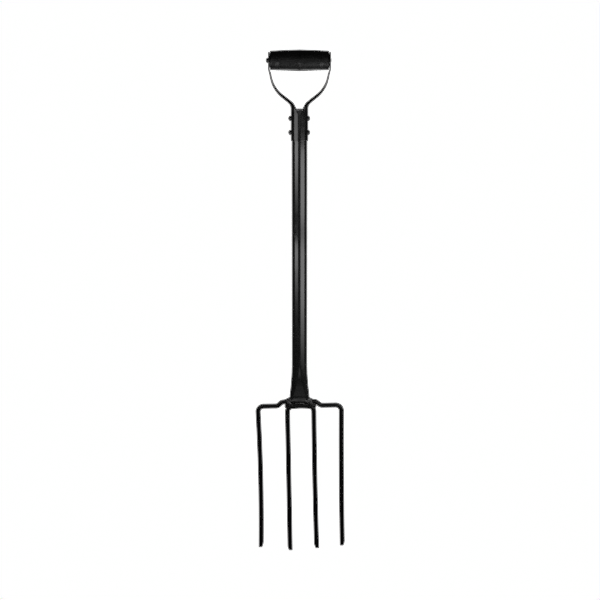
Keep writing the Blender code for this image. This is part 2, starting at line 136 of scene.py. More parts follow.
# Handle straps
GRIP_HEIGHT = frame["joints"][0]["pos_m"][2]
EYE_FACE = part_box("strap_right")[1].x
EYE_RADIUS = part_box("strap_right")[1].z - GRIP_HEIGHT
SOCKET_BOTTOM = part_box("strap_right")[0].z
STRAP_SHEET = 0.0014
SOCKET_RADIUS = TUBE_RADIUS + GAP + STRAP_SHEET
STRAP_COLUMNS = 28
STRAP_EDGE_ANGLE = math.radians(50)
STRAP_STEP = 0.0015
EYE_STEP = math.radians(5)
EYE_LAST_ANGLE = math.radians(84)
STRAP_OUTLINE = (
    (SOCKET_BOTTOM, SOCKET_RADIUS),
    (0.9200, SOCKET_RADIUS),
    (0.9300, SOCKET_RADIUS),
    (0.9355, 0.0174),
    (0.9412, 0.0215),
    (0.9482, 0.0297),
    (0.9561, 0.0390),
    (0.9659, 0.0472),
    (0.9777, 0.0536),
    (0.9895, 0.0570),
    (0.9990, 0.0589),
    (1.0090, EYE_FACE),
    (GRIP_HEIGHT + EYE_RADIUS, EYE_FACE),
)
SOCKET_CURL = 1 / (SOCKET_RADIUS - STRAP_SHEET / 2)
FLAT_CURL = 0.001
# Width of the sheet and how tightly it is curled (one over the curl's radius), at each height
STRAP_SECTIONS = (
    (SOCKET_BOTTOM, 0.0485, SOCKET_CURL),
    (0.9170, 0.0485, SOCKET_CURL),
    (0.9280, 0.0362, SOCKET_CURL),
    (0.9335, 0.0300, 56.0),
    (0.9412, 0.0275, 34.0),
    (0.9500, 0.0258, 33.0),
    (0.9650, 0.0245, 24.0),
    (0.9850, 0.0247, 12.0),
    (0.9990, 0.0250, 9.5),
    (1.0090, 0.0264, FLAT_CURL),
    (GRIP_HEIGHT + EYE_RADIUS, 0.0320, FLAT_CURL),
)

# Rivets, pin, washers, spacer and barrel
ROUND_SIDES = 48
DOME_STEPS = 12
RIVET_RADIUS = 0.0030
RIVET_HEAD_RADIUS = 0.0049
RIVET_TAIL_RADIUS = 0.0050
RIVET_SEAT = 0.0012  # how far a head's skirt reaches in to meet the curved sheet
PIN_RADIUS = 0.0040
PIN_HEAD_RADIUS = 0.0052
PIN_TAIL_RADIUS = 0.0050
PIN_SEAT = 0.0004
WASHER_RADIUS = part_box("grip_washer_left")[1].y
WASHER_ROUNDING = 0.6  # share of a washer's half thickness
SPACER_RADIUS = 0.0060
SPACER_EDGE = 0.0003
BARREL_SIDES = 128
BARREL_STEP = 0.0030
BARREL_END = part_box("grip_barrel")[1].x
BARREL_PEAK_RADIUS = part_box("grip_barrel")[1].z - GRIP_HEIGHT
BARREL_END_RADIUS = 0.01815
BARREL_EDGE = 0.0022
BARREL_EDGE_STEPS = 8
BARREL_CROWN = 1.2  # power of the crown's curve: 1 would make two straight cones
BARREL_MOUTH_EDGE = 0.0008
RIDGE_HEIGHT = 0.0002
RIDGE_HALF_WIDTH = 0.0010
GROOVES = (0.0432, 0.0468)  # ring lines near each end of the barrel
GROOVE_DEPTH = 0.00025
GROOVE_HALF_WIDTH = 0.0006

# Camera and light
CAMERA_DISTANCE = 3.0
CAMERA_HEIGHT = 1.2934
CAMERA_PITCH = math.radians(14.1)
CAMERA_LENS = 90.94
CAMERA_X = 0.0010
FLOOR_HEIGHT = -0.60
FLOOR_SIZE = 60.0
SURROUND = 0.03
CARD_DISTANCE = 0.45
CARD_STEPS = 12
# Each card: its first and last azimuth in degrees, its strength, and its brightness at each height of the
# shaft that mirrors it
CARDS = {
    "card_left": (
        (-73, -24),
        4.1,
        (
            (0.470, 0.00),
            (0.540, 0.08),
            (0.600, 0.38),
            (0.645, 1.00),
            (0.662, 1.00),
            (0.665, 0.00),
            (0.700, 0.00),
            (0.740, 0.10),
            (0.790, 0.44),
            (0.845, 1.00),
            (0.940, 0.75),
            (0.950, 0.00),
        ),
    ),
    "card_right": (
        (18, 78),
        3.5,
        (
            (0.380, 0.00),
            (0.440, 0.18),
            (0.500, 0.48),
            (0.560, 0.95),
            (0.660, 1.00),
            (0.670, 0.42),
            (0.700, 0.46),
            (0.720, 1.00),
            (0.852, 1.00),
            (0.860, 0.02),
            (0.950, 0.00),
        ),
    ),
    "card_back": ((171, 189), 3.0, ((0.10, 0.0), (0.35, 1.0), (0.95, 1.0), (1.20, 0.0))),
}
# Each area light: its place, what it aims at, width, height, power, and spread in degrees
FILLS = {
    "front_fill": ((0, -3.4, 1.25), (0, 0, 1.05), 4.60, 1.60, 7.5, 180),
    "foot_glow": ((0, -0.50, 0.180), (0, 0, 0.335), 0.09, 0.07, 0.0009, 50),
    "foot_glow_low": ((0, -0.50, -0.025), (0, 0, 0.345), 0.12, 0.11, 0.0007, 60),
}
# Tone curve of a product picture on white: the dark half as it is, then a shoulder that keeps thin
# dark shapes as heavy against the white as the eye sees them
TONE_POINTS = ((0.0, 0.0), (0.18, 0.18), (0.50, 0.235), (0.75, 0.52), (1.0, 1.0))


# ---------------------------------------------------------------- curves and meshes


def grade(keys, n, column):
    """The slope of a column from its key n to the next."""
    return (keys[n + 1][column] - keys[n][column]) / (keys[n + 1][0] - keys[n][0])


def slope_at(keys, n, column):
    """The slope to pass key n with, so that the curve never overshoots a key."""
    if n == 0 or n == len(keys) - 1:
        return 0.0
    before, after = grade(keys, n - 1, column), grade(keys, n, column)
    return 2 * before * after / (before + after) if before * after > 0 else 0.0


def eased(keys, at, column=1):
    """The value in a column of keys at this height, on a smooth curve through all of them."""
    at = min(max(at, keys[0][0]), keys[-1][0])
    last = len(keys) - 2
    i = next((n for n in range(last) if at <= keys[n + 1][0]), last)
    span = keys[i + 1][0] - keys[i][0]
    t = (at - keys[i][0]) / span
    low, high = keys[i][column], keys[i + 1][column]
    curve = (1 + 2 * t) * (1 - t) ** 2 * low + t * t * (3 - 2 * t) * high
    leave, arrive = slope_at(keys, i, column), slope_at(keys, i + 1, column)
    return curve + span * t * (1 - t) * ((1 - t) * leave - t * arrive)


def steps_between(low, high, step):
    count = max(1, math.ceil((high - low) / step))
    return [low + (high - low) * n / count for n in range(count + 1)]


def rounded_path(corners, radii):
    """A polyline whose inner corners are turned into arcs of the given radii."""
    corners = [Vector(c) for c in corners]
    path = [corners[0]]
    for before, corner, after, radius in zip(corners, corners[1:], corners[2:], radii):
        inward = (corner - before).normalized()
        outward = (after - corner).normalized()
        turn = inward.angle(outward)
        setback = radius * math.tan(turn / 2)
        centre = corner - inward * setback
        centre += (outward - inward * inward.dot(outward)).normalized() * radius
        spoke = corner - inward * setback - centre
        axis = inward.cross(outward).normalized()
        steps = max(2, math.ceil(turn / ARC_STEP))
        for n in range(steps + 1):
            path.append(centre + Matrix.Rotation(turn * n / steps, 3, axis) @ spoke)
    return [*path, corners[-1]]


def subdivided(path, step):
    """The same path with no stretch longer than a step."""
    finer = [path[0]]
    for a, b in zip(path, path[1:]):
        count = max(1, math.ceil((b - a).length / step))
        finer += [a.lerp(b, n / count) for n in range(1, count + 1)]
    return finer


def bridge(bm, rings, closed):
    """Joins rings of points to their neighbours with faces. A ring of one point is a pole."""
    pairs = list(zip(rings, rings[1:] + rings[:1])) if closed else list(zip(rings, rings[1:]))
    for low, high in pairs:
        for n in range(max(len(low), len(high))):
            corners = [
                low[(n - 1) % len(low)],
                low[n % len(low)],
                high[n % len(high)],
                high[(n - 1) % len(high)],
            ]
            bm.faces.new(dict.fromkeys(corners))


def mesh_of_rings(rings, closed=False, capped=False):
    bm = bmesh.new()
    made = [[bm.verts.new(p) for p in ring] for ring in rings]
    bridge(bm, made, closed)
    if capped:
        bm.faces.new(made[0])
        bm.faces.new(made[-1])
    return bm


def lathe(outline, sides, ring=False):
    """A body turned about X from (radius, distance along X) points, a ring when its outline is closed."""
    rings = []
    for radius, along in outline:
        if radius <= 0:
            rings.append([(along, 0, 0)])
            continue
        angles = [2 * math.pi * n / sides for n in range(sides)]
        rings.append([(along, radius * math.cos(a), radius * math.sin(a)) for a in angles])
    return mesh_of_rings(rings, closed=ring)


def dome(radius, rise, start, side):
    """A dome's outline, from its rim at a distance along X to its crown, towards a side."""
    angles = [math.pi / 2 * n / DOME_STEPS for n in range(DOME_STEPS)]
    rim_to_crown = [(radius * math.cos(a), side * (start + rise * math.sin(a))) for a in angles]
    return [*rim_to_crown, (0.0, side * (start + rise))]


def quarter_round(radius, along, edge, turn_in, turn_along):
    """An outline's corner, rounded: turn_in and turn_along say which way its two sides go."""
    points = []
    for n in range(EDGE_STEPS + 1):
        angle = math.pi / 2 * n / EDGE_STEPS
        points.append(
            (
                radius + turn_in * edge * (1 - math.sin(angle)),
                along + turn_along * edge * (1 - math.cos(angle)),
            )
        )
    return points


# ---------------------------------------------------------------- finishes


class Finish:
    """A node material under construction: the shader, and short ways to add nodes to it."""

    def __init__(self, name, metallic=0.0, specular=0.5):
        self.material = bpy.data.materials.new(name)
        self.material.use_nodes = True
        self.nodes = self.material.node_tree.nodes
        self.links = self.material.node_tree.links
        self.shader = self.nodes["Principled BSDF"]
        self.shader.inputs["Metallic"].default_value = metallic
        self.shader.inputs["Specular IOR Level"].default_value = specular
        self.place = self.nodes.new("ShaderNodeTexCoord").outputs["Object"]

    def stretched(self, scale):
        """Object coordinates, stretched by a scale for each axis."""
        mapping = self.nodes.new("ShaderNodeMapping")
        mapping.inputs["Scale"].default_value = scale
        self.links.new(self.place, mapping.inputs["Vector"])
        return mapping.outputs["Vector"]

    def noise(self, scale, detail, place=None):
        node = self.nodes.new("ShaderNodeTexNoise")
        node.inputs["Scale"].default_value = scale
        node.inputs["Detail"].default_value = detail
        self.links.new(place or self.place, node.inputs["Vector"])
        return node.outputs["Fac"]

    def ranged(self, value, from_low, from_high, to_low, to_high):
        node = self.nodes.new("ShaderNodeMapRange")
        for socket, number in zip(
            ("From Min", "From Max", "To Min", "To Max"), (from_low, from_high, to_low, to_high)
        ):
            node.inputs[socket].default_value = number
        self.links.new(value, node.inputs["Value"])
        return node.outputs["Result"]

    def times(self, a, b):
        node = self.nodes.new("ShaderNodeMath")
        node.operation = "MULTIPLY"
        self.links.new(a, node.inputs[0])
        self.links.new(b, node.inputs[1])
        return node.outputs["Value"]

    def mixed(self, share, first, second):
        """A colour between two, each given as a colour or as an output."""
        node = self.nodes.new("ShaderNodeMix")
        node.data_type = "RGBA"
        self.links.new(share, node.inputs["Factor"])
        for socket, colour in zip((node.inputs[6], node.inputs[7]), (first, second)):
            if isinstance(colour, bpy.types.NodeSocket):
                self.links.new(colour, socket)
            else:
                socket.default_value = (*colour, 1.0)
        return node.outputs[2]

    def bump(self, height, strength, distance, under=None):
        node = self.nodes.new("ShaderNodeBump")
        node.inputs["Strength"].default_value = strength
        node.inputs["Distance"].default_value = distance
        self.links.new(height, node.inputs["Height"])
        if under:
            self.links.new(under, node.inputs["Normal"])
        return node.outputs["Normal"]

    def rubbed_edges(self, low, high):
        """How worn a place is: high on outside edges, broken up by noise."""
        edges = self.nodes.new("ShaderNodeNewGeometry").outputs["Pointiness"]
        return self.times(self.ranged(edges, low, high, 0.0, 1.0), self.noise(420.0, 3.0))

    def feed(self, socket, value):
        self.links.new(value, self.shader.inputs[socket])


def powder_coat(name, dark, light, roughness, peel, specular=0.5):
    """Semi-gloss powder coat: orange peel, faint cloudiness, and a little rub on its edges."""
    finish = Finish(name, specular=specular)
    clouds = finish.noise(26.0, 3.0)
    coat = finish.mixed(finish.ranged(clouds, 0.35, 0.65, 0.0, 1.0), dark, light)
    worn = finish.rubbed_edges(0.54, 0.62)
    finish.feed("Base Color", finish.mixed(worn, coat, (0.030, 0.030, 0.031)))
    patches = finish.noise(90.0, 4.0)
    finish.feed(
        "Roughness", finish.ranged(patches, 0.3, 0.7, roughness - 0.04, roughness + 0.05)
    )
    waves = finish.bump(finish.noise(300.0, 2.0), peel, 0.00012)
    finish.feed("Normal", finish.bump(finish.noise(1500.0, 2.0), peel, 0.00003, under=waves))
    return finish.material


def moulded_plastic(name):
    """Matt black plastic: fine spark-eroded grain, and scuffs that run round the barrel."""
    finish = Finish(name, specular=0.28)
    clouds = finish.ranged(finish.noise(40.0, 3.0), 0.35, 0.65, 0.0, 1.0)
    base = finish.mixed(clouds, (0.0050, 0.0050, 0.0052), (0.0080, 0.0080, 0.0083))
    worn = finish.rubbed_edges(0.53, 0.60)
    finish.feed("Base Color", finish.mixed(worn, base, (0.026, 0.026, 0.027)))
    scuffs = finish.noise(60.0, 4.0, finish.stretched((9.0, 1.0, 1.0)))
    finish.feed("Roughness", finish.ranged(scuffs, 0.3, 0.7, 0.35, 0.45))
    finish.feed("Normal", finish.bump(finish.noise(2600.0, 2.0), 0.22, 0.00006))
    return finish.material


def zinc_plate(name):
    """Zinc plated steel, drawn along X: fine lines, and a cloudy bloom."""
    finish = Finish(name, metallic=1.0)
    clouds = finish.ranged(finish.noise(150.0, 3.0), 0.3, 0.7, 0.0, 1.0)
    finish.feed("Base Color", finish.mixed(clouds, (0.44, 0.44, 0.45), (0.60, 0.60, 0.61)))
    lines = finish.noise(900.0, 3.0, finish.stretched((0.06, 1.0, 1.0)))
    finish.feed("Roughness", finish.ranged(lines, 0.3, 0.7, 0.27, 0.45))
    finish.feed("Normal", finish.bump(lines, 0.15, 0.00005))
    return finish.material


def make_finishes():
    """One finish for each of the record's material slots."""
    return {
        "tube_paint": powder_coat("tube_coat", (0.004,) * 3, (0.007,) * 3, 0.15, 0.05),
        "bar_paint": powder_coat("bar_coat", (0.0012,) * 3, (0.0024,) * 3, 0.38, 0.12, 0.12),
        "weld_paint": powder_coat("weld_coat", (0.004,) * 3, (0.009,) * 3, 0.28, 0.20, 0.45),
        "strap_paint": powder_coat("strap_coat", (0.003,) * 3, (0.005,) * 3, 0.22, 0.08, 0.33),
        "fastener_paint": powder_coat("fastener_coat", (0.004,) * 3, (0.008,) * 3, 0.30, 0.14, 0.45),
        "plated_steel": zinc_plate("zinc_plate"),
        "grip_plastic": moulded_plastic("grip_plastic_black"),
    }


def add_piece(node, bm):
    """A finer piece that stands for a CAD node, on its body and in its finish."""
    bmesh.ops.recalc_face_normals(bm, faces=bm.faces)
    name = "fine_" + node
    mesh = bpy.data.meshes.new(name)
    bm.to_mesh(mesh)
    bm.free()
    mesh.shade_smooth()
    mesh.set_sharp_from_angle(angle=SMOOTH_ANGLE)
    piece = bpy.data.objects.new(name, mesh)
    bpy.context.scene.collection.objects.link(piece)
    mesh.materials.append(FINISHES[SLOT_OF[node]])
    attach(piece, BODY_OF[node])
    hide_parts(node)
    return piece


def round_edges(piece, width, angle=SMOOTH_ANGLE):
    bevel = piece.modifiers.new("round_edges", "BEVEL")
    bevel.width = width
    bevel.segments = EDGE_STEPS
    bevel.limit_method = "ANGLE"
    bevel.angle_limit = angle
    bevel.use_clamp_overlap = True


# ---------------------------------------------------------------- shaft


def tube_outline(height, inset):
    """The tube's outline at a height, moved in by an inset: a circle pressed flat, with round ends."""
    depth = eased(FOOT_DEPTHS, height)
    end_radius = depth / 2
    flat = (2 * math.pi * TUBE_RADIUS - math.pi * depth) / 2
    arc = math.pi * end_radius
    points = []
    for n in range(TUBE_SIDES):
        run = 2 * (arc + flat) * n / TUBE_SIDES
        half_turn, along = divmod(run + arc / 2, arc + flat)
        angle = min(along, arc) / end_radius - math.pi / 2
        x = flat / 2 + (end_radius - inset) * math.cos(angle) - max(along - arc, 0)
        y = (end_radius - inset) * math.sin(angle)
        flip = -1 if half_turn % 2 else 1
        points.append((flip * x, flip * y, height))
    return points


def make_shaft():
    flare = steps_between(TUBE_FOOT + EDGE, FOOT_FLARE_TOP, FLARE_STEP)
    body = [*flare, *steps_between(FOOT_FLARE_TOP, TUBE_TOP - EDGE, SHAFT_STEP)[1:]]
    outside = [(0.0, z) for z in body]
    bore = [(TUBE_WALL, z) for z in reversed(body)]
    top_out = [(i, z) for i, z in reversed(quarter_round(0.0, TUBE_TOP, EDGE, 1, -1))]
    top_in = quarter_round(TUBE_WALL, TUBE_TOP, EDGE, -1, -1)
    foot_in = [(i, z) for i, z in reversed(quarter_round(TUBE_WALL, TUBE_FOOT, EDGE, -1, 1))]
    foot_out = quarter_round(0.0, TUBE_FOOT, EDGE, 1, 1)
    walk = [*outside, *top_out, *top_in, *bore, *foot_in, *foot_out]
    loop = [walk[0]]
    for inset, z in walk[1:]:
        if math.hypot(inset - loop[-1][0], z - loop[-1][1]) > SAME_PLACE:
            loop.append((inset, z))
    if math.hypot(loop[0][0] - loop[-1][0], loop[0][1] - loop[-1][1]) < SAME_PLACE:
        loop.pop()
    add_piece("shaft_tube", mesh_of_rings([tube_outline(z, i) for i, z in loop], closed=True))


# ---------------------------------------------------------------- tine bars


def tine_bow(name, point):
    """Moves a point of a straight tine onto its real line, swept forward and a little astray."""
    _, mid, tip, _ = TINES[name]
    t = max(0.0, (TINE_BEND_TOP - HEAD_PIVOT - point.z) / TINE_BEND_TOP)
    stray = 4 * t * (1 - t) * mid + t * (2 * t - 1) * tip
    return point + Vector((stray, -TINE_REACH * t * t, 0))


def bar_path(left, right, top_corners, radii):
    """A bar's axis from its left tip, over the top corners, to its right tip."""
    ends = [Vector((TINES[n][0], 0, TINES[n][3] - HEAD_PIVOT)) for n in (left, right)]
    path = subdivided(rounded_path([ends[0], *top_corners, ends[1]], radii), BAR_STEP)
    return [tine_bow(left if p.x < 0 else right, p) for p in path]


def outer_bar_path():
    left, right = TINES["outer_left"][0], TINES["outer_right"][0]
    corners = [
        (left, 0, -SHOULDER_DROP),
        (LEFT_JOG[0], 0, -SHOULDER_DROP),
        (LEFT_JOG[1], 0, 0),
        (RIGHT_JOG[0], 0, 0),
        (RIGHT_JOG[1], 0, -SHOULDER_DROP),
        (right, 0, -SHOULDER_DROP),
    ]
    jogs = [JOG_RADIUS] * 4
    radii = [SHOULDER_RADIUS, *jogs, SHOULDER_RADIUS]
    return bar_path("outer_left", "outer_right", corners, radii)


def inner_bar_path():
    left, right = TINES["inner_left"][0], TINES["inner_right"][0]
    corners = [
        (left, 0, -BAR_DROP - CROWN),
        ((left + right) / 2, 0, -BAR_DROP),
        (right, 0, -BAR_DROP - CROWN),
    ]
    radii = [INNER_RADIUS, CROWN_RADIUS, INNER_RADIUS]
    return bar_path("inner_left", "inner_right", corners, radii)


def rod_rings(path, radius, sides):
    rings = []
    for i, point in enumerate(path):
        tangent = (path[min(i + 1, len(path) - 1)] - path[max(i - 1, 0)]).normalized()
        across = tangent.cross(Vector((0, 1, 0))).normalized()
        upright = across.cross(tangent)
        angles = [2 * math.pi * n / sides for n in range(sides)]
        ring = [point + radius * (across * math.cos(a) + upright * math.sin(a)) for a in angles]
        rings.append(ring)
    return rings


def cut_plane(bm, through, normal, reach):
    """Cuts away what lies on the normal's side of a plane near a point, and closes the cut."""
    near = [v for v in bm.verts if (v.co - through).length < reach]
    edges = list({e for v in near for e in v.link_edges})
    faces = list({f for v in near for f in v.link_faces})
    done = bmesh.ops.bisect_plane(
        bm, geom=[*near, *edges, *faces], plane_co=through, plane_no=normal, clear_outer=True
    )
    rim = [e for e in done["geom_cut"] if isinstance(e, bmesh.types.BMEdge)]
    bmesh.ops.edgenet_fill(bm, edges=rim)


def point_tine(bm, name, tip):
    """Bevels a tine's end on one side, front and back."""
    side = POINT_SIDES[name]
    reach = 4 * BAR_RADIUS / math.tan(POINT_SLOPE)
    slope = Vector((side * math.cos(POINT_SLOPE), 0, -math.sin(POINT_SLOPE)))
    cut_plane(bm, tip + Vector((side * POINT_SIDE_LAND, 0, 0)), slope, reach)
    for face in (-1, 1):
        slope = Vector((0, face * math.cos(POINT_FACE_SLOPE), -math.sin(POINT_FACE_SLOPE)))
        cut_plane(bm, tip + Vector((0, face * POINT_FACE_LAND, 0)), slope, reach)


def make_bar(node, left, right, path):
    bm = mesh_of_rings(rod_rings(path, BAR_RADIUS, BAR_SIDES), capped=True)
    point_tine(bm, left, path[0])
    point_tine(bm, right, path[-1])
    bm.transform(HEAD)
    round_edges(add_piece(node, bm), POINT_EDGE)


# ---------------------------------------------------------------- welds


def bead(centres, across, out, width, height, seed):
    """A run of weld metal: an oval section along a path, whose ripples lie like fish scales.

    across and out are the section's own axes at each centre, and width and height its half sizes.
    """
    rings = []
    run = 0.0
    last = len(centres) - 1
    for i, centre in enumerate(centres):
        if i:
            run += (centre - centres[i - 1]).length
        t = 2 * i / last - 1
        swell = math.sqrt(max(1 - abs(t) ** 2.6, 0.0)) * 0.97 + 0.03
        ring = []
        for n in range(BEAD_SIDES):
            angle = 2 * math.pi * n / BEAD_SIDES
            lag = 0.45 * math.cos(angle) ** 2
            stray = 0.35 * noise.noise(Vector((run * 160, seed, 0)))
            phase = (run / BEAD_WAVE + lag + stray) % 1.0
            scale = 1 - BEAD_DEPTH * phase**1.5
            spot = centre + across[i] * math.cos(angle) * width * swell * scale
            spot = spot + out[i] * math.sin(angle) * height * swell * scale
            lump = noise.noise(spot * 320 + Vector((seed, 0, 0))) * BEAD_LUMP
            ring.append(spot + (spot - centre).normalized() * lump)
        rings.append(ring)
    return mesh_of_rings(rings, capped=True)


def curve_through(points, count):
    """Points along a smooth curve through three given ones."""
    a, b, c = (Vector(p) for p in points)
    middle = 2 * b - (a + c) / 2
    made = []
    for n in range(count + 1):
        t = n / count
        made.append(a * (1 - t) ** 2 + middle * 2 * t * (1 - t) + c * t * t)
    return made


def straight_bead(points, outward, width, height, seed):
    """A bead through three points, standing outward from the surface under it."""
    centres = curve_through(points, BEAD_STEPS)
    out = Vector(outward).normalized()
    across = []
    for i in range(len(centres)):
        ahead = centres[min(i + 1, len(centres) - 1)] - centres[max(i - 1, 0)]
        across.append(ahead.cross(out).normalized())
    return bead(centres, across, [out] * len(centres), width, height, seed)


def fillet_profile(side, foot_x, reach, rise, crest):
    """A fillet's outline as (x, distance from the bar's axis), from the foot's side to the bar's skin."""
    root = BAR_RADIUS - FILLET_SINK
    inner = foot_x - TUBE_WALL / 2
    points = [(inner, root), (inner, BAR_RADIUS + rise)]
    for n in range(FILLET_STEPS + 1):
        t = n / FILLET_STEPS
        hump = crest * math.sin(math.pi * t)
        points.append((foot_x + reach * t, BAR_RADIUS + rise * (1 - t) + hump))
    points.append((foot_x + reach, root))
    return [(side * x, r) for x, r in points]


def toe_fillet(side, reach, rise, seed):
    """A fillet weld in the corner of the foot's side and the outer bar, from front over top to back."""
    rings = []
    for i in range(TOE_STEPS + 1):
        t = 2 * i / TOE_STEPS - 1
        angle = TOE_TURN * t
        fade = max(1 - abs(t) ** 3, 0.0)
        stray = 0.3 * noise.noise(Vector((i * 0.15, seed, 0)))
        phase = (i / TOE_STEPS * TOE_RIPPLES + stray) % 1.0
        ripple = 1 - TOE_DEPTH * phase**1.5
        lift = rise * fade * ripple + 0.0001
        across = min(abs((BAR_RADIUS + lift) * math.sin(angle)), FOOT_END_RADIUS)
        foot_x = FOOT_FLAT / 2 + math.sqrt(FOOT_END_RADIUS**2 - across**2)
        spread = reach * (0.35 + 0.65 * fade) * ripple
        ring = []
        for x, radius in fillet_profile(side, foot_x, spread, lift, -TOE_HOLLOW * fade):
            lump = TOE_LUMP * noise.noise(Vector((x * 260, angle * 1.8, seed)))
            radius += lump * fade
            ring.append(Vector((x, radius * math.sin(angle), radius * math.cos(angle))))
        rings.append(ring)
    return mesh_of_rings(rings, capped=True)


def joined(*parts):
    """One bmesh of several, for a weld that was laid in more than one run."""
    whole = bmesh.new()
    for part in parts:
        mesh = bpy.data.meshes.new("part")
        part.to_mesh(mesh)
        part.free()
        whole.from_mesh(mesh)
        bpy.data.meshes.remove(mesh)
    return whole


def add_weld(node, *parts):
    bm = joined(*parts)
    bm.transform(HEAD)
    add_piece(node, bm)


def make_welds():
    front, back = (0, -1, 0), (0, 1, 0)
    add_weld("weld_toe_left", toe_fillet(-1, 0.0120, 0.0056, 1.0))
    add_weld("weld_toe_right", toe_fillet(1, 0.0098, 0.0046, 2.0))
    # The slit between the bars is filled from both sides; the lip's own bead is short
    lens = ((-0.0098, -0.0044, -0.0030), (0.0, -0.0050, -0.0026), (0.0098, -0.0044, -0.0030))
    slit = ((-0.0205, -0.0004, -0.0061), (0.0, -0.0008, -0.0048), (0.0215, -0.0004, -0.0061))
    add_weld(
        "weld_front_lip",
        straight_bead(lens, front, 0.0020, 0.0017, 3.0),
        straight_bead(slit, front, 0.0017, 0.0028, 4.0),
    )
    left = ((-0.0262, -0.0038, 0.0030), (-0.0206, -0.0052, -0.0030), (-0.0150, -0.0042, -0.0082))
    corner = ((-0.0256, -0.0002, -0.0018), (-0.0260, -0.0006, -0.0072), (-0.0266, -0.0002, -0.0140))
    add_weld(
        "weld_front_left",
        straight_bead(left, front, 0.0044, 0.0028, 5.0),
        straight_bead(corner, front, 0.0046, 0.0036, 10.0),
    )
    right = ((0.0190, -0.0040, 0.0040), (0.0250, -0.0052, -0.0034), (0.0290, -0.0040, -0.0098))
    corner = ((0.0298, -0.0002, -0.0022), (0.0300, -0.0006, -0.0072), (0.0304, -0.0002, -0.0140))
    add_weld(
        "weld_front_right",
        straight_bead(right, front, 0.0046, 0.0028, 6.0),
        straight_bead(corner, front, 0.0048, 0.0036, 11.0),
    )
    rear = ((-0.0185, 0.0034, -0.0050), (0.0, 0.0042, -0.0044), (0.0185, 0.0034, -0.0050))
    add_weld("weld_rear_lip", straight_bead(rear, back, 0.0026, 0.0026, 7.0))
    left = ((-0.0282, 0.0040, 0.0016), (-0.0226, 0.0052, -0.0036), (-0.0175, 0.0042, -0.0086))
    add_weld("weld_rear_left", straight_bead(left, back, 0.0038, 0.0027, 8.0))
    right = ((0.0186, 0.0042, -0.0086), (0.0240, 0.0052, -0.0036), (0.0292, 0.0040, 0.0016))
    add_weld("weld_rear_right", straight_bead(right, back, 0.0038, 0.0027, 9.0))


# ---------------------------------------------------------------- handle straps


def strap_width(height):
    """The sheet's width: the leg's own, then a round eye."""
    above = height - GRIP_HEIGHT
    leg = eased(STRAP_SECTIONS, height)
    rise = math.sqrt(max(EYE_RADIUS**2 - above**2, 0.0))
    if above > 0:
        return 2 * rise
    return max(leg, 2 * rise) if above > -EYE_RADIUS else leg


def strap_heights():
    """Heights of the sheet's rows: close together on the bends, and evenly spaced round the eye."""
    heights = [SOCKET_BOTTOM, *steps_between(SOCKET_BOTTOM, GRIP_HEIGHT, STRAP_STEP)[1:]]
    count = math.ceil(EYE_LAST_ANGLE / EYE_STEP)
    angles = [EYE_LAST_ANGLE * n / count for n in range(1, count + 1)]
    return [*heights, *[GRIP_HEIGHT + EYE_RADIUS * math.sin(a) for a in angles]]


def strap_row(before, point, after, side):
    """One row of points across the sheet's middle surface, curled round towards the shaft."""
    tangent = (after - before).normalized()
    outward = Vector((tangent.z, 0, -tangent.x))
    spine = point - outward * STRAP_SHEET / 2
    width = strap_width(point.z)
    radius = 1 / eased(STRAP_SECTIONS, point.z, column=2)
    row = []
    for n in range(STRAP_COLUMNS + 1):
        angle = width / radius * (n / STRAP_COLUMNS - 0.5)
        sink = radius * (1 - math.cos(angle))
        place = spine - outward * sink + Vector((0, radius * math.sin(angle), 0))
        row.append(Vector((side * place.x, place.y, place.z)))
    return row


def make_strap(node, side):
    path = [Vector((eased(STRAP_OUTLINE, z), 0, z)) for z in strap_heights()]
    bm = bmesh.new()
    rows = []
    for i, point in enumerate(path):
        before, after = path[max(i - 1, 0)], path[min(i + 1, len(path) - 1)]
        rows.append([bm.verts.new(p) for p in strap_row(before, point, after, side)])
    for low, high in zip(rows, rows[1:]):
        for n in range(STRAP_COLUMNS):
            bm.faces.new((low[n], low[n + 1], high[n + 1], high[n]))
    strap = add_piece(node, bm)
    sheet = strap.modifiers.new("sheet", "SOLIDIFY")
    sheet.thickness = STRAP_SHEET
    sheet.offset = 0
    sheet.use_even_offset = True
    round_edges(strap, EDGE, STRAP_EDGE_ANGLE)


# ---------------------------------------------------------------- rivets, pin and grip


def riveted(face, seat, shank, head_radius, head, tail_radius, tail):
    """A shank along X with a high head on its left and a flatter tail on its right."""
    left = [*reversed(dome(head_radius, head, face, -1)), (head_radius, -face + seat)]
    right = [(tail_radius, face - seat), *dome(tail_radius, tail, face, 1)]
    return lathe([*left, (shank, -face + seat), (shank, face - seat), *right], ROUND_SIDES)


def make_socket_rivet(node):
    low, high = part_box(node)
    face = SOCKET_RADIUS
    head, tail = -low.x - face, high.x - face
    bm = riveted(
        face, RIVET_SEAT, RIVET_RADIUS, RIVET_HEAD_RADIUS, head, RIVET_TAIL_RADIUS, tail
    )
    bm.transform(Matrix.Translation((0, 0, (low.z + high.z) / 2)))
    add_piece(node, bm)


def at_grip(bm, along=0.0):
    bm.transform(Matrix.Translation((along, 0, GRIP_HEIGHT)))
    return bm


def make_pin():
    low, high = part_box("grip_pin")
    head, tail = -low.x - EYE_FACE, high.x - EYE_FACE
    bm = riveted(EYE_FACE, PIN_SEAT, PIN_RADIUS, PIN_HEAD_RADIUS, head, PIN_TAIL_RADIUS, tail)
    add_piece("grip_pin", at_grip(bm))


def ring_outline(bore, radius, half, edge):
    """A flat ring's closed outline, with its four corners rounded."""
    return [
        *quarter_round(radius, half, edge, -1, -1),
        *reversed(quarter_round(bore, half, edge, 1, -1)),
        *quarter_round(bore, -half, edge, 1, 1),
        *reversed(quarter_round(radius, -half, edge, -1, 1)),
    ]


